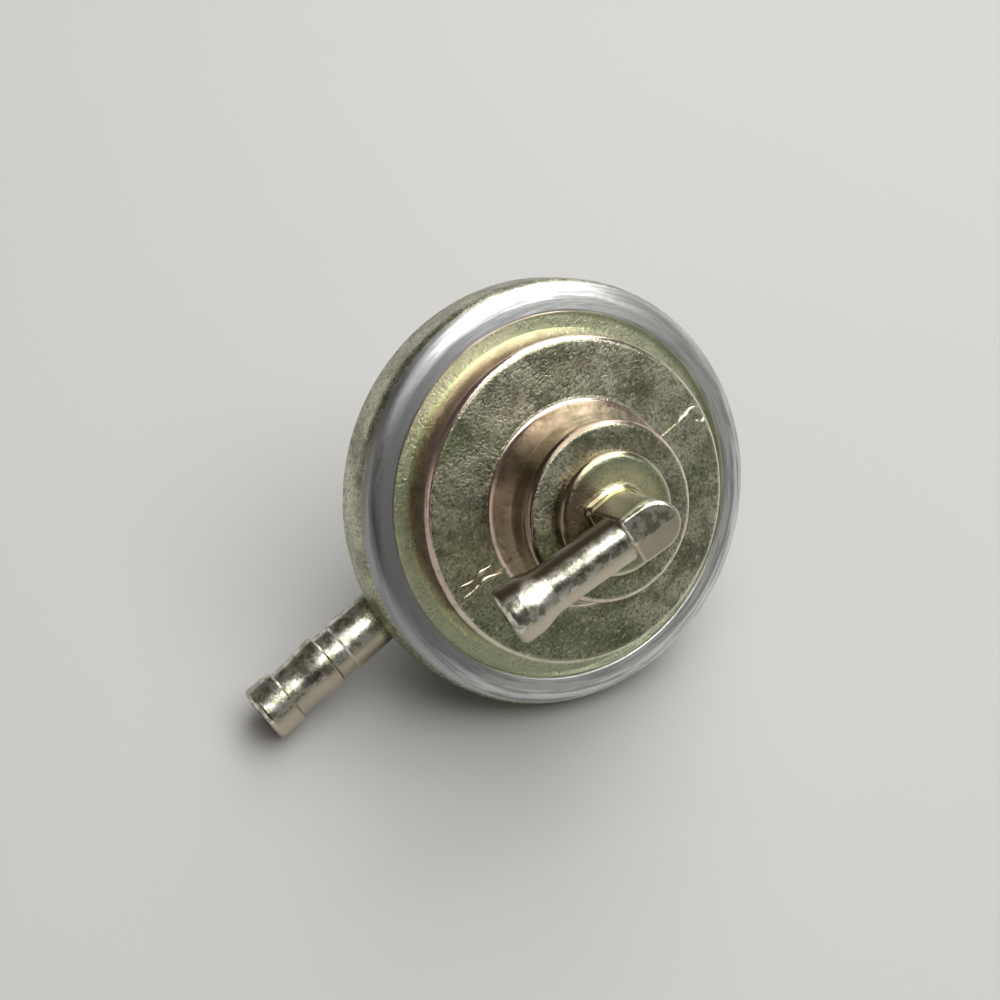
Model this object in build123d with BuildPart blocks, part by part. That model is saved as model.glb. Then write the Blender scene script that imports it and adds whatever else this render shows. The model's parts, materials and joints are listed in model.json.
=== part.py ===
from build123d import *
import os
from math import cos, radians, sin

# A scooter's vacuum fuel tap: two zinc castings rolled together at the rim, with two
# diaphragms, a sprung valve and a vent between them. Millimetres, +Z along the tap's axis
# towards the vacuum cover, +X along the fuel inlet. The origin is on the axis, in the middle
# of the outlet spigot's hose land. The valve is drawn shut, as its spring holds it.

# Fuel spigots, for a hose of 5 mm bore. Lengths along them are measured back from the tip.
fuel_tube_radius = 2.85
fuel_neck_radius = 2.7
fuel_land_radius = 3.1
fuel_land_length = 3.1
fuel_tip_round = 0.6
fuel_shoulder = 0.25
fuel_barb_radius = 3.05
fuel_barb_start = 4.8
fuel_barb_end = 8.6
fuel_barb_flat = 0.5
fuel_collar_start = 10.6
fuel_bore_radius = 1.8
inlet_depth = 9.3
inlet_tip = 37.4
outlet_tip = 30.5

# Rim, where the body's lip is rolled in over the cover's flange. The lip falls a little from
# its inner edge to where its corner would be.
lip_top = outlet_tip - fuel_land_length / 2
lip_thickness = 0.9
lip_inner_radius = 19.0
lip_edge_round = 0.3
lip_fall = 0.35
rim_radius = 22.4
rim_depth = 6.2
rim_wall = 1.4
rim_round = 2.2
rim_foot_round = 0.5

# The stack clamped under the lip, from the cover's flange down
flange_thickness = 1.6
diaphragm_thickness = 0.4
spacer_thickness = 1.2
stack_clearance = 0.1

# Fuel body behind the rim. Depths are measured back from the face of the lip.
drum_radius = 15.9
drum_draft = 0.6
drum_depth = 13.0
chamber_radius = 14.0
chamber_floor = 11.3
outlet_boss_radius = 6.4
outlet_boss_depth = 16.2
casting_draft = 0.3
large_round = 1.2
middle_round = 0.8
small_round = 0.6
seat_post_radius = 3.7
seat_land_radius = 3.1
seat_bevel = 0.5
vent_radius = 0.5

# Vacuum cover, a stack of discs that narrows towards the elbow. Heights are above the lip.
disc_foot_radius = 17.5
disc_top_radius = 16.8
disc_height = 3.0
disc_dome = 0.4
boss_foot_radius = 10.4
boss_knee_radius = 9.5
boss_knee_height = 6.4
boss_top_radius = 9.0
boss_height = 9.3
pad_foot_radius = 6.3
pad_top_radius = 6.15
pad_height = 10.7
edge_round = 0.75
ridge_height = 0.12
ridge_width = 0.3
vacuum_chamber_radius = 15.6
vacuum_chamber_height = 1.2
spring_pocket_radius = 7.3
spring_pocket_height = 7.3

# Elbow and vacuum spigot, for a hose of 4.5 mm bore. The spigot droops towards the disc, and
# the cover sits a few degrees out of line with the body, as it was rolled in.
cover_turn = -2.0
spigot_droop = 10.0
elbow_half_width = 2.5
elbow_front = 2.6
elbow_height = 17.9
elbow_gable = 0.25
elbow_corner_round = 0.5
elbow_top_round = 0.35
elbow_root_round = 0.9
vacuum_axis_height = 15.0
vacuum_tip = 15.4
vacuum_mouth_radius = 2.2
vacuum_barb_radius = 3.0
vacuum_land_start = 0.9
vacuum_land_end = 1.9
vacuum_barb_foot = 5.0
vacuum_neck_radius = 2.4
vacuum_bore_radius = 1.1

# Valve, the plates around it, and its spring
valve_head_radius = 3.9
valve_head_height = 1.8
shank_radius = 1.5
rivet_radius = 2.5
rivet_height = 0.7
groove_inner_radius = 1.8
groove_outer_radius = 3.2
groove_depth = 0.95
ring_radius = 2.5
ring_section = 1.3
washer_radius = 3.2
washer_thickness = 0.5
plate_thickness = 0.8
plate_round = 0.3
distance_radius = 8.2
backing_radius = 8.2
backing_lip = 0.9
cup_radius = 10.0
cup_rim_height = 1.0
bead_radius = 4.9
bead_height = 0.6
bead_top_width = 0.5
bead_slope = 0.4
spring_radius = 5.75
spring_wire = 0.9
spring_turns = 5.0
roll_radius = 12.1
roll_half_width = 1.5
roll_height = 1.2
hole_clearance = 0.1

# Heights that follow from the stack
flange_top = lip_top - lip_thickness
flange_bottom = flange_top - flange_thickness
spacer_top = flange_bottom - diaphragm_thickness
spacer_bottom = spacer_top - spacer_thickness
ledge = spacer_bottom - diaphragm_thickness
rim_bottom = lip_top - rim_depth
drum_bottom = lip_top - drum_depth
outlet_boss_bottom = lip_top - outlet_boss_depth
floor_height = lip_top - chamber_floor
disc_level = lip_top + disc_height
boss_level = lip_top + boss_height
pad_level = lip_top + pad_height
pocket_roof = lip_top + spring_pocket_height
vacuum_chamber_roof = lip_top + vacuum_chamber_height
backing_bottom = ledge - plate_thickness
head_bottom = backing_bottom - valve_head_height
ring_middle = head_bottom + groove_depth - ring_section / 2
seat_height = ring_middle - ring_section / 2
cup_floor = flange_bottom + plate_thickness
washer_top = cup_floor + washer_thickness
cup_inside_radius = rim_radius - rim_wall
stack_radius = cup_inside_radius - stack_clearance

# Directions and planes. On the spigots' planes the tip is at the origin, facing up.
up = Vector(0, 0, 1)
axis_line = Axis((0, 0, 0), (0, 0, 1))
cover_along = Vector(cos(radians(cover_turn)), sin(radians(cover_turn)), 0)
cover_across = up.cross(cover_along)
spigot_along = cover_along * cos(radians(spigot_droop)) - up * sin(radians(spigot_droop))
spigot_length = vacuum_tip / cos(radians(spigot_droop))
inlet_plane = Plane(origin=(inlet_tip, 0, lip_top - inlet_depth), x_dir=(0, 1, 0), z_dir=(1, 0, 0))
outlet_plane = Plane(origin=(0, 0, lip_top - outlet_tip), x_dir=(1, 0, 0), z_dir=(0, 0, -1))
vent_plane = Plane(origin=(0, rim_radius, (spacer_top + spacer_bottom) / 2), z_dir=(0, 1, 0))
cover_plane = Plane(origin=(0, 0, lip_top), x_dir=cover_along, z_dir=(0, 0, 1))
gable_plane = Plane(origin=up * (lip_top + elbow_height), x_dir=cover_across, z_dir=spigot_along)
vacuum_plane = Plane(
    origin=up * (lip_top + vacuum_axis_height) + spigot_along * spigot_length,
    x_dir=cover_across,
    z_dir=spigot_along,
)
inwards = (Align.CENTER, Align.CENTER, Align.MAX)
close = 0.02


def circles_at(solid, height, smallest=0.0, largest=rim_radius + 1):
    """The circular edges at a height whose radius is between two values."""
    return solid.edges().filter_by(GeomType.CIRCLE).filter_by(
        lambda e: abs(e.center().Z - height) < close and smallest < e.radius < largest
    )


def fuel_spigot(length):
    """A solid fuel spigot with two hose barbs: its tip is at the origin and it grows down."""
    with BuildPart() as spigot:
        with BuildSketch(Plane.XZ):
            with BuildLine():
                Polyline((0, -length), (0, 0), (fuel_land_radius - fuel_tip_round, 0))
                TangentArc(
                    (fuel_land_radius - fuel_tip_round, 0),
                    (fuel_land_radius, -fuel_tip_round),
                    tangent=(1, 0),
                )
                Polyline(
                    (fuel_land_radius, -fuel_tip_round),
                    (fuel_land_radius, -fuel_land_length),
                    (fuel_neck_radius, -fuel_land_length - fuel_shoulder),
                    (fuel_neck_radius, -fuel_barb_start),
                )
                Spline(
                    (fuel_neck_radius, -fuel_barb_start),
                    (fuel_barb_radius, -fuel_barb_end + fuel_barb_flat),
                    tangents=((0, -1), (0, -1)),
                )
                Polyline(
                    (fuel_barb_radius, -fuel_barb_end + fuel_barb_flat),
                    (fuel_barb_radius, -fuel_barb_end),
                    (fuel_neck_radius, -fuel_barb_end - fuel_shoulder),
                    (fuel_neck_radius, -fuel_collar_start),
                    (fuel_tube_radius, -fuel_collar_start - fuel_shoulder),
                    (fuel_tube_radius, -length),
                    (0, -length),
                )
            make_face()
        revolve(axis=axis_line)
    return spigot.part


def vacuum_spigot(length):
    """A solid vacuum spigot with one long flared barb, its tip at the origin."""
    with BuildPart() as spigot:
        with BuildSketch(Plane.XZ):
            with BuildLine():
                Polyline((0, -length), (0, 0), (vacuum_mouth_radius, 0))
                Spline(
                    (vacuum_mouth_radius, 0),
                    (vacuum_barb_radius, -vacuum_land_start),
                    tangents=((1, 0), (0, -1)),
                )
                Line((vacuum_barb_radius, -vacuum_land_start), (vacuum_barb_radius, -vacuum_land_end))
                Spline(
                    (vacuum_barb_radius, -vacuum_land_end),
                    (vacuum_neck_radius, -vacuum_barb_foot),
                    tangents=((0, -1), (0, -1)),
                )
                Polyline(
                    (vacuum_neck_radius, -vacuum_barb_foot),
                    (vacuum_neck_radius, -length),
                    (0, -length),
                )
            make_face()
        revolve(axis=axis_line)
    return spigot.part


# Fuel body: the rear casting, with its lip already rolled in
with BuildPart() as fuel_body:
    with BuildSketch(Plane.XZ):
        with BuildLine():
            Polyline(
                (0, outlet_boss_bottom),
                (outlet_boss_radius - casting_draft, outlet_boss_bottom),
                (outlet_boss_radius, drum_bottom),
                (drum_radius - drum_draft, drum_bottom),
                (drum_radius, rim_bottom),
                (rim_radius, rim_bottom),
                (rim_radius, lip_top - lip_fall),
                (lip_inner_radius, lip_top),
                (lip_inner_radius, flange_top),
                (cup_inside_radius, flange_top),
                (cup_inside_radius, ledge),
                (chamber_radius, ledge),
                (chamber_radius - casting_draft, floor_height),
                (seat_post_radius + casting_draft, floor_height),
                (seat_post_radius, seat_height - seat_bevel),
                (seat_land_radius, seat_height),
                (0, seat_height),
                (0, outlet_boss_bottom),
            )
        make_face()
    revolve(axis=axis_line)
    fillet(circles_at(fuel_body, lip_top - lip_fall), rim_round)
    fillet(circles_at(fuel_body, lip_top), lip_edge_round)
    fillet(circles_at(fuel_body, rim_bottom, smallest=cup_inside_radius), rim_foot_round)
    fillet(circles_at(fuel_body, rim_bottom, largest=cup_inside_radius), middle_round)
    fillet(circles_at(fuel_body, drum_bottom, smallest=chamber_radius), large_round)
    fillet(circles_at(fuel_body, drum_bottom, largest=chamber_radius), middle_round)
    fillet(circles_at(fuel_body, outlet_boss_bottom), small_round)
    fillet(circles_at(fuel_body, floor_height, smallest=seat_post_radius * 2), large_round)
    with Locations(inlet_plane):
        add(fuel_spigot(inlet_tip - (chamber_radius + drum_radius) / 2))
        Cylinder(fuel_bore_radius, inlet_tip - chamber_radius / 2, align=inwards, mode=Mode.SUBTRACT)
    with Locations(outlet_plane):
        add(fuel_spigot(outlet_tip - outlet_boss_depth + large_round))
        Cylinder(fuel_bore_radius, outlet_tip, align=inwards, mode=Mode.SUBTRACT)
    with Locations(vent_plane):
        Cylinder(vent_radius, 2 * rim_wall, align=inwards, mode=Mode.SUBTRACT)

# Elbow on the cover: an upright with a rounded back, under a gabled top that slopes as the
# vacuum spigot does
with BuildPart() as elbow:
    with BuildSketch(cover_plane.offset(boss_height)) as plan:
        Circle(elbow_half_width)
        Rectangle(elbow_front, 2 * elbow_half_width, align=(Align.MIN, Align.CENTER))
        fillet(plan.vertices().group_by(Axis.X)[-1], elbow_corner_round)
    extrude(amount=elbow_height)
    gable_reach = 2 * elbow_half_width
    with BuildSketch(gable_plane):
        with BuildLine():
            Polyline(
                (-gable_reach, -elbow_height),
                (gable_reach, -elbow_height),
                (gable_reach, -elbow_gable * gable_reach / elbow_half_width),
                (0, 0),
                (-gable_reach, -elbow_gable * gable_reach / elbow_half_width),
                (-gable_reach, -elbow_height),
            )
        make_face()
    extrude(amount=elbow_height, both=True, mode=Mode.INTERSECT)
    roof = elbow.faces().sort_by(Axis.Z)[-2:]
    eaves = (roof[0].edges() + roof[1].edges()).filter_by(
        lambda e: abs(cover_plane.to_local_coords(e @ 0.5).Y) > elbow_gable
    )
    fillet(eaves, elbow_top_round)

# Vacuum cover: the front casting, with the flash of its mould's parting line on the disc
with BuildPart() as vacuum_cover:
    with BuildSketch(Plane.XZ):
        with BuildLine():
            Polyline(
                (0, pad_level),
                (pad_top_radius, pad_level),
                (pad_foot_radius, boss_level),
                (boss_top_radius, boss_level),
                (boss_knee_radius, lip_top + boss_knee_height),
                (boss_foot_radius, disc_level + disc_dome),
                (disc_top_radius, disc_level),
                (disc_foot_radius, flange_top),
                (stack_radius, flange_top),
                (stack_radius, flange_bottom),
                (vacuum_chamber_radius, flange_bottom),
                (vacuum_chamber_radius - casting_draft, vacuum_chamber_roof),
                (spring_pocket_radius + casting_draft, vacuum_chamber_roof),
                (spring_pocket_radius, pocket_roof),
                (0, pocket_roof),
                (0, pad_level),
            )
        make_face()
    revolve(axis=axis_line)
    fillet(circles_at(vacuum_cover, pad_level), edge_round)
    fillet(circles_at(vacuum_cover, boss_level, smallest=pad_foot_radius + edge_round), edge_round)
    fillet(circles_at(vacuum_cover, disc_level), edge_round)
    fillet(circles_at(vacuum_cover, disc_level + disc_dome), edge_round)
    for along in (cover_along, -cover_along):
        with BuildSketch(Plane(origin=(0, 0, disc_level), x_dir=along, z_dir=along.cross(up))):
            with BuildLine():
                Polyline(
                    (boss_top_radius, -ridge_width),
                    (boss_top_radius, disc_dome + ridge_height),
                    (boss_foot_radius, disc_dome + ridge_height),
                    (disc_top_radius - edge_round, ridge_height),
                    (disc_top_radius - edge_round, -ridge_width),
                    (boss_top_radius, -ridge_width),
                )
            make_face()
        extrude(amount=ridge_width / 2, both=True)
    add(elbow.part)
    pad_face = vacuum_cover.faces().filter_by(lambda f: abs(f.center().Z - pad_level) < close)[0]
    fillet(pad_face.inner_wires()[0].edges(), elbow_root_round)
    with Locations(vacuum_plane):
        add(vacuum_spigot(spigot_length))
        Cylinder(vacuum_bore_radius, spigot_length, align=inwards, mode=Mode.SUBTRACT)
    with Locations((0, 0, lip_top + vacuum_axis_height)):
        Cylinder(vacuum_bore_radius, vacuum_axis_height / 2 + edge_round, align=inwards, mode=Mode.SUBTRACT)


def diaphragm(middle, bend):
    """A round rubber sheet at a height, with a rolled fold that bends up or down."""
    inner_end = shank_radius + hole_clearance + diaphragm_thickness / 2
    outer_end = stack_radius - diaphragm_thickness / 2
    roll_start = roll_radius - roll_half_width
    roll_end = roll_radius + roll_half_width
    with BuildPart() as sheet:
        with BuildSketch(Plane.XZ):
            with BuildLine():
                Line((inner_end, middle), (roll_start, middle))
                SagittaArc((roll_start, middle), (roll_end, middle), bend)
                Line((roll_end, middle), (outer_end, middle))
                offset(amount=diaphragm_thickness / 2)
            make_face()
        revolve(axis=axis_line)
    return sheet.part


with BuildPart() as vacuum_diaphragm:
    add(diaphragm(flange_bottom - diaphragm_thickness / 2, roll_height))

with BuildPart() as fuel_diaphragm:
    add(diaphragm(ledge + diaphragm_thickness / 2, -roll_height))

# Spacer ring, drilled to let the space between the diaphragms breathe
with BuildPart() as spacer_ring:
    with BuildSketch(Plane.XY.offset(spacer_bottom)):
        Circle(stack_radius)
        Circle(chamber_radius, mode=Mode.SUBTRACT)
    extrude(amount=spacer_thickness)
    with Locations(vent_plane):
        Cylinder(vent_radius, rim_radius / 2, align=inwards, mode=Mode.SUBTRACT)

# Plates that hold the middle of the diaphragms
with BuildPart() as distance_plate:
    with BuildSketch(Plane.XY.offset(spacer_bottom)):
        Circle(distance_radius)
        Circle(shank_radius, mode=Mode.SUBTRACT)
    extrude(amount=spacer_thickness)
    chamfer(distance_plate.edges().filter_by(GeomType.CIRCLE).sort_by(SortBy.RADIUS)[-2:], plate_round)

with BuildPart() as backing_plate:
    with BuildSketch(Plane.XZ):
        with BuildLine():
            Polyline(
                (shank_radius, ledge),
                (backing_radius, ledge),
                (backing_radius + backing_lip, ledge - backing_lip),
                (backing_radius + plate_round, ledge - backing_lip - plate_round),
                (backing_radius - plate_round, backing_bottom),
                (shank_radius, backing_bottom),
                (shank_radius, ledge),
            )
        make_face()
    revolve(axis=axis_line)

with BuildPart() as spring_cup:
    with BuildSketch(Plane.XZ):
        with BuildLine():
            Polyline(
                (shank_radius, flange_bottom),
                (cup_radius - plate_thickness, flange_bottom),
                (cup_radius, flange_bottom + plate_thickness),
                (cup_radius, cup_floor + cup_rim_height),
                (cup_radius - plate_thickness, cup_floor + cup_rim_height),
                (cup_radius - plate_thickness - plate_round, cup_floor),
                (bead_radius, cup_floor),
                (bead_radius - bead_slope, cup_floor + bead_height),
                (bead_radius - bead_slope - bead_top_width, cup_floor + bead_height),
                (bead_radius - 2 * bead_slope - bead_top_width, cup_floor),
                (shank_radius, cup_floor),
                (shank_radius, flange_bottom),
            )
        make_face()
    revolve(axis=axis_line)

with BuildPart() as stem_washer:
    with BuildSketch(Plane.XY.offset(cup_floor)):
        Circle(washer_radius)
        Circle(shank_radius, mode=Mode.SUBTRACT)
    extrude(amount=washer_thickness)

# Valve: a turned stem, riveted over the washer, with an O-ring in the face of its head
with BuildPart() as valve_stem:
    with BuildSketch(Plane.XZ):
        with BuildLine():
            Polyline(
                (0, head_bottom),
                (groove_inner_radius, head_bottom),
                (groove_inner_radius, head_bottom + groove_depth),
                (groove_outer_radius, head_bottom + groove_depth),
                (groove_outer_radius, head_bottom),
                (valve_head_radius, head_bottom),
                (valve_head_radius, backing_bottom),
                (shank_radius, backing_bottom),
                (shank_radius, washer_top),
                (rivet_radius, washer_top),
            )
            TangentArc((0, washer_top + rivet_height), (rivet_radius, washer_top), tangent=(1, 0))
            Line((0, washer_top + rivet_height), (0, head_bottom))
        make_face()
    revolve(axis=axis_line)

with BuildPart() as seat_o_ring:
    with BuildSketch(Plane.XZ):
        with Locations((ring_radius, ring_middle)):
            Circle(ring_section / 2)
    revolve(axis=axis_line)

# Return spring, from the cup to the pocket's roof
spring_low = cup_floor + spring_wire / 2
spring_high = pocket_roof - spring_wire / 2

with BuildPart() as return_spring:
    with BuildLine() as coil:
        Helix(
            pitch=(spring_high - spring_low) / spring_turns,
            height=spring_high - spring_low,
            radius=spring_radius,
            center=(0, 0, spring_low),
        )
    with BuildSketch(Plane(origin=coil.line @ 0, z_dir=coil.line % 0)):
        Circle(spring_wire / 2)
    sweep()

pieces = {
    "fuel_body": fuel_body,
    "vacuum_cover": vacuum_cover,
    "vacuum_diaphragm": vacuum_diaphragm,
    "fuel_diaphragm": fuel_diaphragm,
    "spacer_ring": spacer_ring,
    "distance_plate": distance_plate,
    "backing_plate": backing_plate,
    "spring_cup": spring_cup,
    "stem_washer": stem_washer,
    "valve_stem": valve_stem,
    "seat_o_ring": seat_o_ring,
    "return_spring": return_spring,
}
os.makedirs("parts", exist_ok=True)
for name, piece in pieces.items():
    piece.part.label = name
    export_step(piece.part, f"parts/{name}.step")
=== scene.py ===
import json
from math import cos, pi, radians, sin

import bmesh
import bpy
from mathutils import Matrix, Vector
from mathutils.bvhtree import BVHTree

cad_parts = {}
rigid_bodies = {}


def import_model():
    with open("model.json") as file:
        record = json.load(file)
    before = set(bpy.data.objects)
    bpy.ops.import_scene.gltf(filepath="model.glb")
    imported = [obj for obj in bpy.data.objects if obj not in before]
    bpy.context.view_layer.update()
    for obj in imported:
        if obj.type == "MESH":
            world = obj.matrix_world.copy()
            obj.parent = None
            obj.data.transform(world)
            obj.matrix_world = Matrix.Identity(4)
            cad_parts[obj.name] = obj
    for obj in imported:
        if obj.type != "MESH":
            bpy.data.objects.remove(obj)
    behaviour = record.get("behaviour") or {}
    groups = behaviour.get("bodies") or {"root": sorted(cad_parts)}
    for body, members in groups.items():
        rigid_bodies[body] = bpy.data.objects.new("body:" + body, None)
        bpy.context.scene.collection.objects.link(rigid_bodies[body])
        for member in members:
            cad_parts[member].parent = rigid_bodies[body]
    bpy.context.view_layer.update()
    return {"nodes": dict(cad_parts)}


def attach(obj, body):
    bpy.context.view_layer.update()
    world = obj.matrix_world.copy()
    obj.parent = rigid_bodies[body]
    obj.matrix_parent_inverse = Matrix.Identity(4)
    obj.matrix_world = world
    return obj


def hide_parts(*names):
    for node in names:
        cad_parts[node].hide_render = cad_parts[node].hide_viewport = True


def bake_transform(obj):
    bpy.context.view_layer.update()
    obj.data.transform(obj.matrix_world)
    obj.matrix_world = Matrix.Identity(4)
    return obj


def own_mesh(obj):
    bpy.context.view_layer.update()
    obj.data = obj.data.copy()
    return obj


# A vacuum fuel tap lying on a pale table, seen from above its cover. Metres, in the tap's own
# frame: +Z along its axis towards the cover, +X along the fuel inlet.
for start_object in list(bpy.data.objects):
    bpy.data.objects.remove(start_object)
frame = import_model()
nodes = frame["nodes"]
mm = 0.001

# Heights and radii that the finishes follow, in millimetres
lip_top = 28.95
lip_inner_radius = 19.0
bare_depth = 1.15
ledge_radius = 17.2
peach_wall_radius = 12.5
umber_wall_radius = 9.6
pad_top = lip_top + 10.7
pad_lemon_radius = 5.4
root_start = lip_top + 10.72
root_end = lip_top + 11.7
upright_foot = lip_top + 11.0
upright_blend = 0.8
shaded_flank_top = lip_top + 17.2
inlet_silver_start = 22.5
outlet_silver_start = 10.0

# The camera looks down on the cover, with the fuel inlet to the lower left of the picture.
camera_azimuth = radians(-58.128)
camera_elevation = radians(63.3)
camera_roll = radians(110)
camera_distance = 0.150
camera_target = Vector((5.249, -3.565, 26.034)) * mm
camera_lens = 52.44


def picture_axes():
    """The directions right, up and towards the viewer, as the camera stands."""
    level_back = Vector((cos(camera_azimuth), sin(camera_azimuth), 0))
    back = level_back * cos(camera_elevation) + Vector((0, 0, sin(camera_elevation)))
    level_up = Vector((0, 0, cos(camera_elevation))) - level_back * sin(camera_elevation)
    level_right = level_up.cross(back)
    up = level_up * cos(camera_roll) - level_right * sin(camera_roll)
    return up.cross(back), up, back


picture_right, picture_up, picture_back = picture_axes()


def towards(right, up, back):
    """A direction given as the picture shows it, in the tap's frame."""
    return (picture_right * right + picture_up * up + picture_back * back).normalized()


def facing(place, back, up):
    """A matrix that puts an object at a place, with its -Z away from back."""
    right = up.cross(back).normalized()
    turned = Matrix((right, back.cross(right), back)).transposed()
    return Matrix.Translation(place) @ turned.to_4x4()


def show(thing):
    """Puts an object into the scene."""
    bpy.context.scene.collection.objects.link(thing)


class Graph:
    """A node tree, with short calls for the nodes that the finishes use."""

    def __init__(self, tree):
        self.tree = tree

    def node(self, kind, *values, **settings):
        made = self.tree.nodes.new("ShaderNode" + kind)
        for name, value in settings.items():
            setattr(made, name, value)
        for socket, value in zip(made.inputs, values):
            self.put(socket, value)
        return made

    def put(self, socket, value):
        if isinstance(value, bpy.types.NodeSocket):
            self.tree.links.new(value, socket)
        else:
            socket.default_value = value

    def math(self, operation, *values):
        return self.node("Math", *values, operation=operation).outputs[0]

    def plus(self, first, second):
        return self.math("ADD", first, second)

    def times(self, first, second):
        return self.math("MULTIPLY", first, second)

    def larger(self, first, second):
        return self.math("MAXIMUM", first, second)

    def vector(self, operation, *values):
        made = self.node("VectorMath", *values, operation=operation)
        return made.outputs["Value" if operation in ("DOT_PRODUCT", "LENGTH") else "Vector"]

    def scaled(self, value, factor):
        made = self.node("VectorMath", value, operation="SCALE")
        made.inputs["Scale"].default_value = factor
        return made.outputs["Vector"]

    def mix(self, share, first, second):
        """The first of two colours or numbers, and more of the second as the share grows."""
        made = self.node("Mix", share, data_type="RGBA")
        first_colour, second_colour = made.inputs[6], made.inputs[7]
        self.put(first_colour, first)
        self.put(second_colour, second)
        return made.outputs[2]

    def step(self, value, low, high, at_low, at_high):
        """A smooth step between two values, rising or falling."""
        made = self.node("MapRange", value, low, high, at_low, at_high)
        made.interpolation_type = "SMOOTHSTEP"
        return made.outputs[0]

    def share(self, value, none_at, most_at, most=1.0):
        """A share that grows smoothly from nothing to the most."""
        return self.step(value, none_at, most_at, at_low=0.0, at_high=most)

    def noise(self, place, scale, detail=3.0, roughness=0.55, distortion=0.0):
        made = self.node("TexNoise")
        made.inputs["Scale"].default_value = scale
        made.inputs["Detail"].default_value = detail
        made.inputs["Roughness"].default_value = roughness
        made.inputs["Distortion"].default_value = distortion
        self.put(made.inputs["Vector"], place)
        return made.outputs["Fac"]


class Finish(Graph):
    """A new surface finish. Places in it are in millimetres, in the tap's frame."""

    def __init__(self, name, metallic=1.0):
        self.material = bpy.data.materials.new(name)
        self.material.use_nodes = True
        super().__init__(self.material.node_tree)
        self.shader = self.tree.nodes["Principled BSDF"]
        coordinates = self.node("TexCoord").outputs
        self.place = self.scaled(coordinates["Object"], 1 / mm)
        self.x, self.y, self.z = self.node("SeparateXYZ", self.place).outputs
        normal = self.node("SeparateXYZ", coordinates["Normal"]).outputs
        self.normal_y, self.normal_z = normal[1], normal[2]
        from_axis = self.node("CombineXYZ", self.x, self.y, 0.0).outputs[0]
        self.radius = self.vector("LENGTH", from_axis)
        self.outward = self.vector("NORMALIZE", from_axis)
        self.set("Metallic", metallic)

    def set(self, name, value):
        self.put(self.shader.inputs[name], value)

    def set_bump(self, height, strength, distance):
        """Relief that follows a height, with its depth in millimetres."""
        made = self.node("Bump")
        made.inputs["Strength"].default_value = strength
        made.inputs["Distance"].default_value = distance * mm
        self.put(made.inputs["Height"], height)
        self.set("Normal", made.outputs[0])

    def ring_place(self, around, across, along):
        """A place for streaks that run round the axis: distance round, out and along it."""
        turned = self.node("SeparateXYZ", self.scaled(self.outward, around)).outputs
        out = self.times(self.radius, across)
        second = self.plus(turned[1], self.times(self.z, along))
        return self.node("CombineXYZ", turned[0], second, out).outputs[0]

    def side(self, direction):
        """How far round the axis a place lies towards a direction, from -1 to 1."""
        return self.vector("DOT_PRODUCT", self.outward, direction)

    def above(self, height, blur):
        return self.share(self.z, height, height + blur)

    def below(self, height, blur):
        return self.share(self.z, height, height - blur)

    def inside(self, radius, blur):
        return self.share(self.radius, radius, radius - blur)

    def outside(self, radius, blur):
        return self.share(self.radius, radius, radius + blur)


# Colours of the chromate film and of the bare zinc where the lip was rolled; some also serve as painted
# shade, painted highlights and painted reflections
olive_dark = (0.13, 0.13, 0.09, 1)
olive = (0.34, 0.34, 0.235, 1)
khaki = (0.62, 0.61, 0.46, 1)
straw = (0.78, 0.765, 0.60, 1)
moss = (0.22, 0.28, 0.12, 1)
rose = (0.64, 0.49, 0.43, 1)
peach = (0.90, 0.75, 0.66, 1)
umber = (0.26, 0.20, 0.15, 1)
# Painted shade for the upright's side under the spigot, and a painted reflection for the pad
shadow_brown = (0.042, 0.030, 0.018, 1)
pad_painted_reflection = (0.17, 0.12, 0.085, 1)
pad_green = (0.46, 0.50, 0.31, 1)
silver = (0.80, 0.785, 0.70, 1)
# A painted reflection of the table, for the half past the parting line
table_reflection_tan = (0.60, 0.54, 0.43, 1)
# A painted highlight on the fillet at the root of the upright
lemon_highlight = (0.80, 0.78, 0.46, 1)
pale_lime = (0.80, 0.85, 0.58, 1)
bare_zinc = (0.74, 0.75, 0.75, 1)
bare_shadow = (0.40, 0.41, 0.41, 1)
# Painted shade on the bare lip
bare_painted_shade = (0.25, 0.26, 0.27, 1)


def casting_grain(finish):
    """The sandy skin of a casting and its slower waves."""
    sand = finish.noise(finish.place, scale=3.3, roughness=0.65)
    waves = finish.noise(finish.place, scale=0.8, roughness=0.6)
    return sand, waves


def flat_chromate(finish, sand):
    """The colour of a sandy flat: grey olive with moss and umber clouds and dark grains."""
    elsewhere = finish.vector("ADD", finish.place, (41.0, 7.0, 13.0))
    cloud = finish.noise(finish.place, scale=0.22, detail=4.0, roughness=0.6, distortion=0.5)
    patch = finish.noise(elsewhere, scale=0.16, distortion=0.8)
    grain = finish.noise(finish.place, scale=2.0, detail=4.0, roughness=0.7)
    low_side = finish.plus(finish.side(-picture_up * 0.9 - picture_right * 0.44), cloud)
    colour = finish.mix(finish.share(cloud, 0.41, 0.59), olive, khaki)
    colour = finish.mix(finish.share(patch, 0.50, 0.74, most=0.60), colour, moss)
    colour = finish.mix(finish.share(patch, 0.44, 0.28, most=0.45), colour, umber)
    colour = finish.mix(finish.share(cloud, 0.46, 0.34, most=0.55), colour, olive_dark)
    colour = finish.mix(finish.share(low_side, 0.95, 1.50, most=0.40), colour, moss)
    colour = finish.mix(finish.share(grain, 0.54, 0.68, most=0.85), colour, straw)
    return finish.mix(finish.share(sand, 0.54, 0.36, most=0.75), colour, olive_dark)


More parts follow.
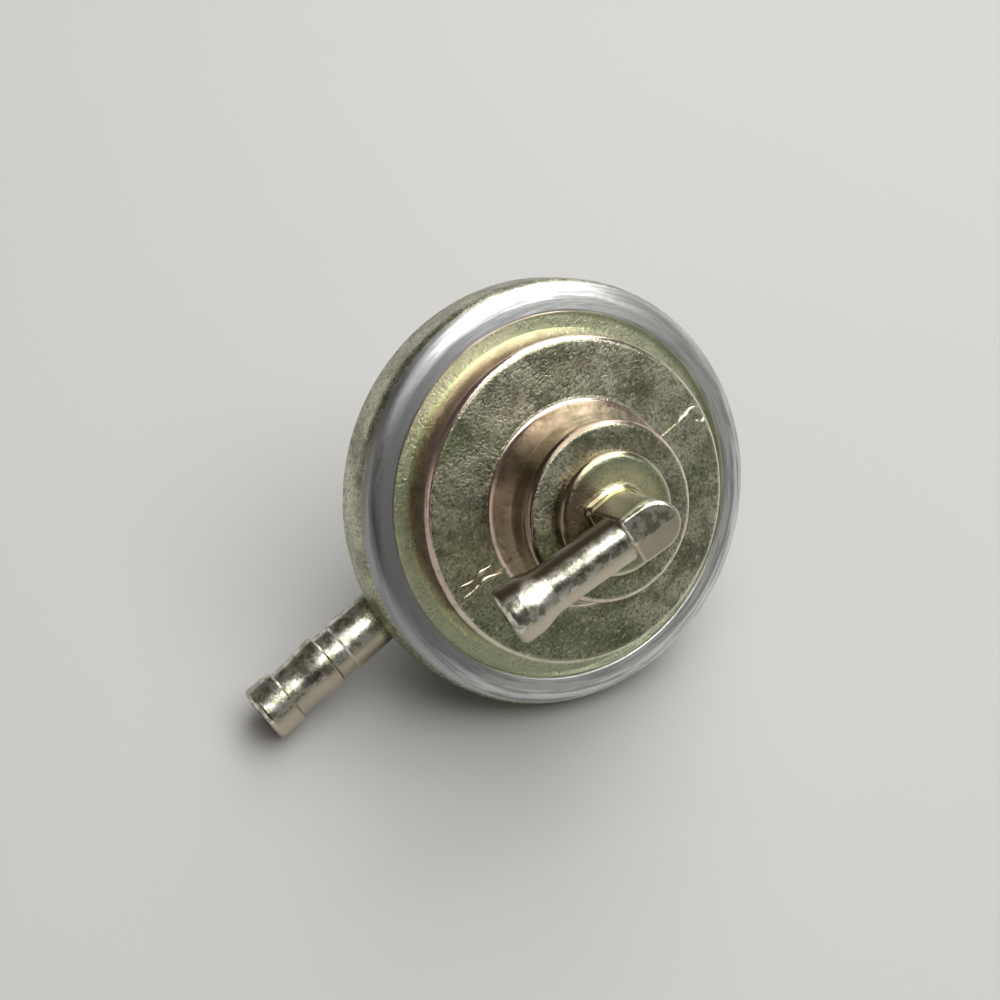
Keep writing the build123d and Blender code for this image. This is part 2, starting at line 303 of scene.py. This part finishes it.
def wall_chromate_and_painted_light(finish):
    """The colour of a smooth wall: chromate streaks and film, on painted shade in rose and umber on the
    side away from the light, and painted light in straw and peach on the side towards it.
    """
    ring = finish.ring_place(around=0.9, across=0.30, along=0.75)
    band = finish.noise(ring, scale=1.0, detail=2.0, roughness=0.5, distortion=0.3)
    film = finish.noise(finish.place, scale=0.6, roughness=0.6)
    # Walls that face the camera's right and lower side are painted lit, the others painted shaded
    painted_light_side = finish.side(picture_right * 0.9 - picture_up * 0.4)
    painted_light_side = finish.plus(painted_light_side, finish.times(film, 0.6))
    shade = finish.mix(finish.inside(umber_wall_radius, 0.2), rose, umber)
    light = finish.mix(finish.inside(peach_wall_radius, 1.0), straw, peach)
    colour = finish.mix(finish.share(painted_light_side, -0.45, 0.35), shade, light)
    colour = finish.mix(finish.share(band, 0.56, 0.64, most=0.60), colour, rose)
    return finish.mix(finish.share(film, 0.52, 0.30, most=0.50), colour, umber)


def spigot_chromate_and_reflection(finish):
    """A spigot's silvery, blotched colour, and the share that lies past its parting line, painted plain
    as a reflection of the table.
    """
    blotch = finish.noise(finish.place, scale=1.1, detail=4.0, roughness=0.65, distortion=0.3)
    colour = finish.mix(finish.share(blotch, 0.54, 0.42, most=0.90), silver, olive)
    # Past the parting line the surface gets a painted reflection of the table; the split at the line is
    # real
    plain = finish.share(finish.y, 0.0, 0.25)
    return finish.mix(plain, colour, table_reflection_tan), plain


def casting_relief(finish, sand, waves, flat, spigot, plain):
    """Roughness and height of a casting: deep sand on its flats, faint on walls and spigots."""
    sandy = finish.times(flat, finish.math("SUBTRACT", 1.0, spigot))
    rough = finish.step(waves, 0.3, 0.7, at_low=0.14, at_high=0.24)
    rough = finish.plus(rough, finish.times(sandy, 0.10))
    rough = finish.plus(rough, finish.times(spigot, 0.06))
    rough = finish.plus(rough, finish.times(finish.times(spigot, plain), 0.14))
    depth = finish.plus(finish.times(sandy, 1.8), finish.times(spigot, 0.12))
    height = finish.times(sand, finish.plus(depth, 0.10))
    return rough, finish.plus(height, finish.times(waves, 0.20))


def bare_lip(finish):
    """The lip that rolling left bare: its share, colour, roughness and height."""
    wobble = finish.noise(finish.place, scale=0.5, detail=2.0)
    edge = finish.plus(finish.z, finish.times(wobble, 0.5))
    bare = finish.share(edge, lip_top - bare_depth, lip_top - bare_depth + 0.5)
    bare = finish.times(bare, finish.outside(lip_inner_radius - 0.3, 0.3))
    streak_ring = finish.ring_place(around=3.5, across=2.2, along=2.2)
    smear_ring = finish.ring_place(around=2.0, across=0.8, along=0.8)
    streak = finish.noise(streak_ring, scale=1.0, detail=4.0)
    smear = finish.noise(smear_ring, scale=1.0, roughness=0.6)
    # The bare zinc on the camera's left is painted darker: painted shade
    painted_shade_side = finish.side(-picture_right)
    colour = finish.mix(finish.share(streak, 0.36, 0.60), bare_shadow, bare_zinc)
    colour = finish.mix(finish.share(painted_shade_side, 0.25, 0.80, most=0.70), colour, bare_painted_shade)
    colour = finish.mix(finish.share(smear, 0.64, 0.78, most=0.35), colour, khaki)
    rough = finish.step(streak, 0.3, 0.7, at_low=0.44, at_high=0.30)
    return bare, colour, rough, finish.times(streak, 0.35)


def cover_films_and_painted_light(finish, colour):
    """The thicker films on the cover's ledge and pad, a yellow highlight painted on the fillet at the
    root of the upright and round it on the pad, and a brown reflection painted on one side of the pad.
    """
    # A yellow highlight is painted on the fillet at the root of the upright
    root = finish.times(finish.above(root_start, 0.1), finish.below(root_end, 0.3))
    colour = finish.mix(root, colour, lemon_highlight)
    ledge = finish.times(finish.below(lip_top, 0.3), finish.outside(ledge_radius, 0.4))
    colour = finish.mix(finish.times(ledge, 0.85), colour, pale_lime)
    below_upright = finish.below(upright_foot + upright_blend, upright_blend)
    pad = finish.times(finish.above(pad_top - 0.5, 0.4), below_upright)
    # Round the upright the pad gets the same painted yellow highlight, with the green film further out
    pad_film_and_highlight = finish.mix(finish.inside(pad_lemon_radius, 1.5), pad_green, lemon_highlight)
    colour = finish.mix(finish.times(pad, 0.75), colour, pad_film_and_highlight)
    # On the side towards the spigot the pad gets a brown painted reflection of the spigot's dark
    # underside
    reflection_side = finish.share(finish.side((0.85, -0.53, 0.0)), 0.50, 0.80)
    brown = finish.times(finish.times(pad, reflection_side), 0.85)
    return finish.mix(brown, colour, pad_painted_reflection)


def dress_casting(finish, colour, rough, height):
    """Gives a casting's finish its colour, roughness and relief."""
    finish.set("Base Color", colour)
    finish.set("Roughness", rough)
    finish.set_bump(height, strength=0.5, distance=0.08)
    return finish.material


def body_zinc():
    """The rear casting: sandy chromate, silvery on both fuel spigots and bare on its rolled lip."""
    finish = Finish("body_zinc")
    sand, waves = casting_grain(finish)
    inlet = finish.share(finish.x, inlet_silver_start, inlet_silver_start + 1.0)
    spigot = finish.larger(inlet, finish.below(outlet_silver_start, 1.0))
    spigot_colour, plain = spigot_chromate_and_reflection(finish)
    colour = finish.mix(spigot, flat_chromate(finish, sand), spigot_colour)
    rough, height = casting_relief(finish, sand, waves, 1.0, spigot, plain)
    bare, lip_colour, lip_rough, lip_height = bare_lip(finish)
    colour = finish.mix(bare, colour, lip_colour)
    rough = finish.mix(bare, rough, lip_rough)
    height = finish.mix(bare, height, lip_height)
    return dress_casting(finish, colour, rough, height)


def cover_zinc():
    """The cover: sandy flats, smooth walls, and a silvery upright with painted shade, dark brown and
    hardly metallic, on its side under the spigot.
    """
    finish = Finish("cover_zinc")
    sand, waves = casting_grain(finish)
    flat = finish.share(finish.math("ABSOLUTE", finish.normal_z), 0.86, 0.97)
    upright = finish.above(upright_foot, upright_blend)
    upright_colour, plain = spigot_chromate_and_reflection(finish)
    # The upright's side that faces -Y, under the spigot, is painted dark brown as shade and made hardly
    # metallic, so that it mirrors little
    shaded_flank = finish.share(finish.normal_y, -0.6, -0.9)
    shaded_flank = finish.times(shaded_flank, finish.below(shaded_flank_top, 0.8))
    shaded_flank = finish.times(shaded_flank, finish.above(lip_top, 1.0))
    upright_colour = finish.mix(shaded_flank, upright_colour, shadow_brown)
    colour = finish.mix(flat, wall_chromate_and_painted_light(finish), flat_chromate(finish, sand))
    colour = finish.mix(upright, colour, upright_colour)
    colour = cover_films_and_painted_light(finish, colour)
    dark = finish.times(shaded_flank, upright)
    finish.set("Metallic", finish.step(dark, 0.0, 1.0, at_low=1.0, at_high=0.15))
    rough, height = casting_relief(finish, sand, waves, flat, upright, plain)
    return dress_casting(finish, colour, rough, height)


def rubber(name, threads=None):
    """Black rubber, with the weave of its cloth or the sheen of a moulding."""
    finish = Finish(name, metallic=0.0)
    grain = finish.noise(finish.place, scale=2.0)
    colour = finish.mix(grain, (0.018, 0.018, 0.019, 1), (0.055, 0.053, 0.05, 1))
    finish.set("Base Color", colour)
    finish.set("Roughness", finish.step(grain, 0.3, 0.7, at_low=0.42, at_high=0.66))
    height = grain
    if threads:
        over = finish.math("SINE", finish.times(finish.x, threads))
        under = finish.math("SINE", finish.times(finish.y, threads))
        height = finish.times(over, under)
    finish.set_bump(height, strength=0.3, distance=0.03)
    return finish.material


def worked_metal(name, light, dark, turned=False):
    """Steel, zinc or brass with fine marks, round the axis where the piece was turned."""
    finish = Finish(name)
    if turned:
        ring = finish.ring_place(around=1.5, across=6.0, along=6.0)
        marks = finish.noise(ring, scale=1.0)
    else:
        marks = finish.noise(finish.place, scale=1.6, detail=4.0, roughness=0.7)
    cloud = finish.noise(finish.place, scale=0.5)
    colour = finish.mix(finish.share(marks, 0.35, 0.65), dark, light)
    colour = finish.mix(finish.share(cloud, 0.6, 0.8, most=0.40), colour, dark)
    finish.set("Base Color", colour)
    finish.set("Roughness", finish.step(marks, 0.3, 0.7, at_low=0.40, at_high=0.22))
    finish.set_bump(marks, strength=0.25, distance=0.02)
    return finish.material


def dress(material, *pieces):
    """Gives nodes their finish."""
    for piece in pieces:
        mesh = nodes[piece].data
        mesh.materials.clear()
        mesh.materials.append(material)


steel = worked_metal("plated_steel", (0.70, 0.70, 0.67, 1), (0.42, 0.42, 0.40, 1), turned=True)
cloth = rubber("cloth_rubber", threads=9.0)
wire = worked_metal("spring_wire", (0.66, 0.66, 0.65, 1), (0.38, 0.38, 0.38, 1))
body = body_zinc()
cover = cover_zinc()
moulding = rubber("moulded_rubber")
zinc = worked_metal("plain_zinc", (0.62, 0.62, 0.60, 1), (0.40, 0.40, 0.38, 1))
brass = worked_metal("turned_brass", (0.80, 0.62, 0.30, 1), (0.52, 0.38, 0.16, 1), turned=True)
dress(body, "fuel_body")
dress(cover, "vacuum_cover")
dress(cloth, "vacuum_diaphragm", "fuel_diaphragm")
dress(moulding, "seat_o_ring")
dress(zinc, "spacer_ring")
dress(brass, "valve_stem")
dress(wire, "return_spring")
dress(steel, "distance_plate", "backing_plate", "spring_cup", "stem_washer")

# The number of sectors that each diaphragm is cut into
diaphragm_sectors = 8


def copy_of(node, name):
    """A free copy of a node, shown in the scene."""
    made = bpy.data.objects.new(name, nodes[node].data.copy())
    show(made)
    return made


def make_spring():
    """The return spring, as a free copy that rides with the housing."""
    spring = copy_of("return_spring", "return_spring_wire")
    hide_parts("return_spring")
    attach(spring, "housing")
    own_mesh(spring)


def keep_sector(mesh, middle, half):
    """Cuts a mesh down to the sector within half an angle on either side of a middle angle."""
    shape = bmesh.new()
    shape.from_mesh(mesh)
    for side in (-1, 1):
        turn = middle + side * half
        cut = Vector((-sin(turn), cos(turn), 0)) * side
        everything = shape.verts[:] + shape.edges[:] + shape.faces[:]
        bmesh.ops.bisect_plane(shape, geom=everything, plane_co=(0, 0, 0), plane_no=cut, clear_outer=True)
    shape.to_mesh(mesh)
    shape.free()


def make_diaphragm(node):
    """A diaphragm cut into sectors round its axis."""
    half = pi / diaphragm_sectors
    for number in range(diaphragm_sectors):
        middle = 2 * half * number
        sector = copy_of(node, f"{node}_{number + 1}")
        keep_sector(sector.data, middle, half)
        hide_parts(node)
        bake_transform(sector)


# Casting flash lies on the disc, along the cover's parting line. The disc under it is looked for
# from a height above the disc and below the vacuum spigot.
cover_turn = radians(-2.0)
flash_aside = radians(5.0)
flash_search = lip_top + 4.6
flash_stations = 28
flash_corners = 10
flash_end_share = 0.02
flash_sway = 0.6
width_wander = 0.35
height_wander = 0.40

# Each ridge of flash: its angle round the axis, the radii where it starts and ends, its width and
# its height in millimetres, and the seed of its wander
ridges = {
    "flash_by_spigot": (cover_turn, 10.8, 16.8, 0.55, 0.17, 3),
    "flash_beside_spigot": (cover_turn - flash_aside, 11.5, 15.6, 0.42, 0.14, 11),
    "flash_at_back": (cover_turn + pi, 12.6, 16.6, 0.62, 0.18, 5),
    "flash_at_edge": (cover_turn + pi - flash_aside, 15.2, 16.8, 0.50, 0.16, 8),
}


def crooked(share, seed):
    """A smooth wander between -1 and 1 along a ridge of flash."""
    return 0.7 * sin(4.5 * share + seed) + 0.3 * sin(12 * share + 2.3 * seed)


def flash_rings(shape, angle, start, end, width, height, seed):
    """Rings of points round a crooked ridge on the disc, which is slighter at both ends."""
    cover_surface = BVHTree.FromObject(nodes["vacuum_cover"], bpy.context.evaluated_depsgraph_get())
    along = Vector((cos(angle), sin(angle), 0))
    across = Vector((-sin(angle), cos(angle), 0))
    rings = []
    for station in range(flash_stations + 1):
        share = station / flash_stations
        taper = sin(pi * share) ** 0.5 + flash_end_share
        sway = crooked(share, seed) * flash_sway * width
        middle = along * (start + (end - start) * share) + across * sway
        above = Vector((middle.x, middle.y, flash_search)) * mm
        ground = cover_surface.ray_cast(above, Vector((0, 0, -1)))[0].z
        half = width / 2 * taper * (1 + width_wander * crooked(share, seed + 1.7))
        tall = height * taper * (1 + height_wander * crooked(share, seed + 4.1))
        ring = []
        for corner in range(flash_corners):
            turn = 2 * pi * corner / flash_corners
            place = (middle + across * half * cos(turn)) * mm
            place.z = ground + tall * sin(turn) * mm
            ring.append(shape.verts.new(place))
        rings.append(ring)
    return rings


def make_flash(name, angle, start, end, width, height, seed):
    """A ridge of casting flash at an angle round the cover, from one radius to another."""
    shape = bmesh.new()
    rings = flash_rings(shape, angle, start, end, width, height, seed)
    for near, far in zip(rings, rings[1:]):
        for corner in range(flash_corners):
            after = (corner + 1) % flash_corners
            shape.faces.new((near[corner], near[after], far[after], far[corner]))
    shape.faces.new(reversed(rings[0]))
    shape.faces.new(rings[-1])
    bmesh.ops.recalc_face_normals(shape, faces=shape.faces[:])
    mesh = bpy.data.meshes.new(name)
    shape.to_mesh(mesh)
    shape.free()
    mesh.shade_smooth()
    mesh.materials.append(cover)
    flash = bpy.data.objects.new(name, mesh)
    show(flash)
    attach(flash, "housing")


make_spring()
for name, ridge in ridges.items():
    make_flash(name, *ridge)
make_diaphragm("vacuum_diaphragm")
make_diaphragm("fuel_diaphragm")

# The table turns clear towards its edge. The tap lies on its side there, so that in the tap's
# frame the table is steeply tilted.
table_colour = (0.52, 0.52, 0.515, 1)
table_cloud = 0.96
backdrop_colour = (0.64, 0.64, 0.63, 1)
table_size = 0.8
table_fade = 0.28
roughly_down = Vector((0.34, 0.71, -0.62))
largest_tilt = radians(25)


def resting_plane():
    """A point on the table and its upward normal: the flat that the tap's hull comes to rest on."""
    shape = bmesh.new()
    for casting in ("fuel_body", "vacuum_cover"):
        for vertex in nodes[casting].data.vertices:
            shape.verts.new(vertex.co)
    hull = bmesh.ops.convex_hull(shape, input=shape.verts)
    centre = sum((v.co for v in shape.verts), Vector()) / len(shape.verts)
    flats = []
    for face in hull["geom"]:
        if not isinstance(face, bmesh.types.BMFace):
            continue
        point = face.calc_center_median()
        outward = face.normal
        if outward.dot(point - centre) < 0:
            outward = -outward
        if outward.angle(roughly_down) < largest_tilt:
            flats.append((face.calc_area(), point, -outward))
    shape.free()
    largest = max(flats, key=lambda flat: flat[0])
    return largest[1], largest[2]


def table_paint():
    """Pale paint from above; from below the table can't be seen, so that it hides nothing."""
    material = bpy.data.materials.new("table_paint")
    material.use_nodes = True
    graph = Graph(material.node_tree)
    paint = graph.tree.nodes["Principled BSDF"]
    output = graph.tree.nodes["Material Output"]
    place = graph.node("TexCoord").outputs["Object"]
    clouded = tuple(table_cloud * c for c in table_colour[:3]) + (1,)
    colour = graph.mix(graph.noise(place, scale=9.0), clouded, table_colour)
    graph.put(paint.inputs["Base Color"], colour)
    paint.inputs["Roughness"].default_value = 0.85
    paint.inputs["Specular IOR Level"].default_value = 0.15
    far_out = graph.share(graph.vector("LENGTH", place), table_fade, table_size / 2)
    unseen = graph.larger(graph.node("NewGeometry").outputs["Backfacing"], far_out)
    clear = graph.node("BsdfTransparent").outputs[0]
    surface = graph.node("MixShader", unseen, paint.outputs[0], clear).outputs[0]
    graph.put(output.inputs["Surface"], surface)
    return material


def make_table():
    """The table, a flat sheet under the tap."""
    point, upward = resting_plane()
    half = table_size / 2
    mesh = bpy.data.meshes.new("table")
    corners = [(-half, -half, 0), (half, -half, 0), (half, half, 0), (-half, half, 0)]
    mesh.from_pydata(corners, [], [(0, 1, 2, 3)])
    table = bpy.data.objects.new("table", mesh)
    table.matrix_world = facing(point, upward, picture_up)
    mesh.materials.append(table_paint())
    show(table)


make_table()

lamp_distance = 0.5


def soft_lamp(name, direction, size, brightness, colour):
    """A large square lamp that shines on the tap. Brightness is how light a mirror shows it."""
    light = bpy.data.lights.new(name, "AREA")
    light.size = size
    light.energy = brightness * pi * size**2
    light.color = colour
    lamp = bpy.data.objects.new(name, light)
    across = picture_up if abs(direction.dot(picture_up)) < 0.9 else picture_right
    lamp.matrix_world = facing(camera_target + direction * lamp_distance, direction, across)
    show(lamp)


soft_lamp("key", towards(0.36, 0.62, 0.70), size=0.54, brightness=3.2, colour=(1.0, 0.995, 0.985))
soft_lamp("far_key", towards(0.20, 0.97, 0.05), size=0.40, brightness=2.6, colour=(1.0, 0.99, 0.97))


def studio_card(graph, seen, room, direction, reach, blur, colour):
    """Adds to the room a round card that reaches so many degrees from its middle, soft at its edge."""
    nearness = graph.vector("DOT_PRODUCT", seen, direction)
    edge = cos(radians(reach + blur))
    core = cos(radians(reach - blur))
    return graph.mix(graph.share(nearness, edge, core), room, colour)


def studio_room(graph, seen):
    """The room that the metal mirrors: a later card covers an earlier one."""
    ceiling = (towards(0.14, 0.65, 0.75), 74, 6, (0.13, 0.12, 0.105, 1))
    far_corner = (towards(-0.60, 0.78, 0.05), 38, 10, (0.10, 0.09, 0.08, 1))
    left_wall = (towards(-0.98, -0.15, -0.05), 25, 10, (0.14, 0.13, 0.12, 1))
    right_wall = (towards(0.75, -0.28, 0.60), 25, 15, (0.20, 0.195, 0.18, 1))
    viewer = (towards(0.05, -0.30, 0.95), 24, 8, (0.025, 0.02, 0.016, 1))
    rose_card = (towards(-0.72, -0.20, 0.66), 18, 4, (0.70, 0.62, 0.57, 1))
    room = backdrop_colour
    for card in (ceiling, far_corner, left_wall, right_wall, viewer, rose_card):
        room = studio_card(graph, seen, room, *card)
    return room


def make_studio():
    """A pale backdrop, and round the tap the room that its metal mirrors."""
    world = bpy.data.worlds.new("studio")
    world.use_nodes = True
    bpy.context.scene.world = world
    graph = Graph(world.node_tree)
    room = studio_room(graph, graph.node("TexCoord").outputs["Generated"])
    path = graph.node("LightPath").outputs
    seen_directly = graph.larger(path["Is Camera Ray"], path["Is Transmission Ray"])
    background = graph.tree.nodes["Background"]
    graph.put(background.inputs["Color"], graph.mix(seen_directly, room, backdrop_colour))


def make_camera():
    """The camera, where the photograph's stood."""
    camera = bpy.data.objects.new("camera", bpy.data.cameras.new("camera"))
    camera.data.lens = camera_lens
    camera.data.clip_start = 1 * mm
    place = camera_target + picture_back * camera_distance
    camera.matrix_world = facing(place, picture_back, picture_up)
    show(camera)
    bpy.context.scene.camera = camera


make_studio()
make_camera()
bpy.context.scene.view_settings.view_transform = "Standard"
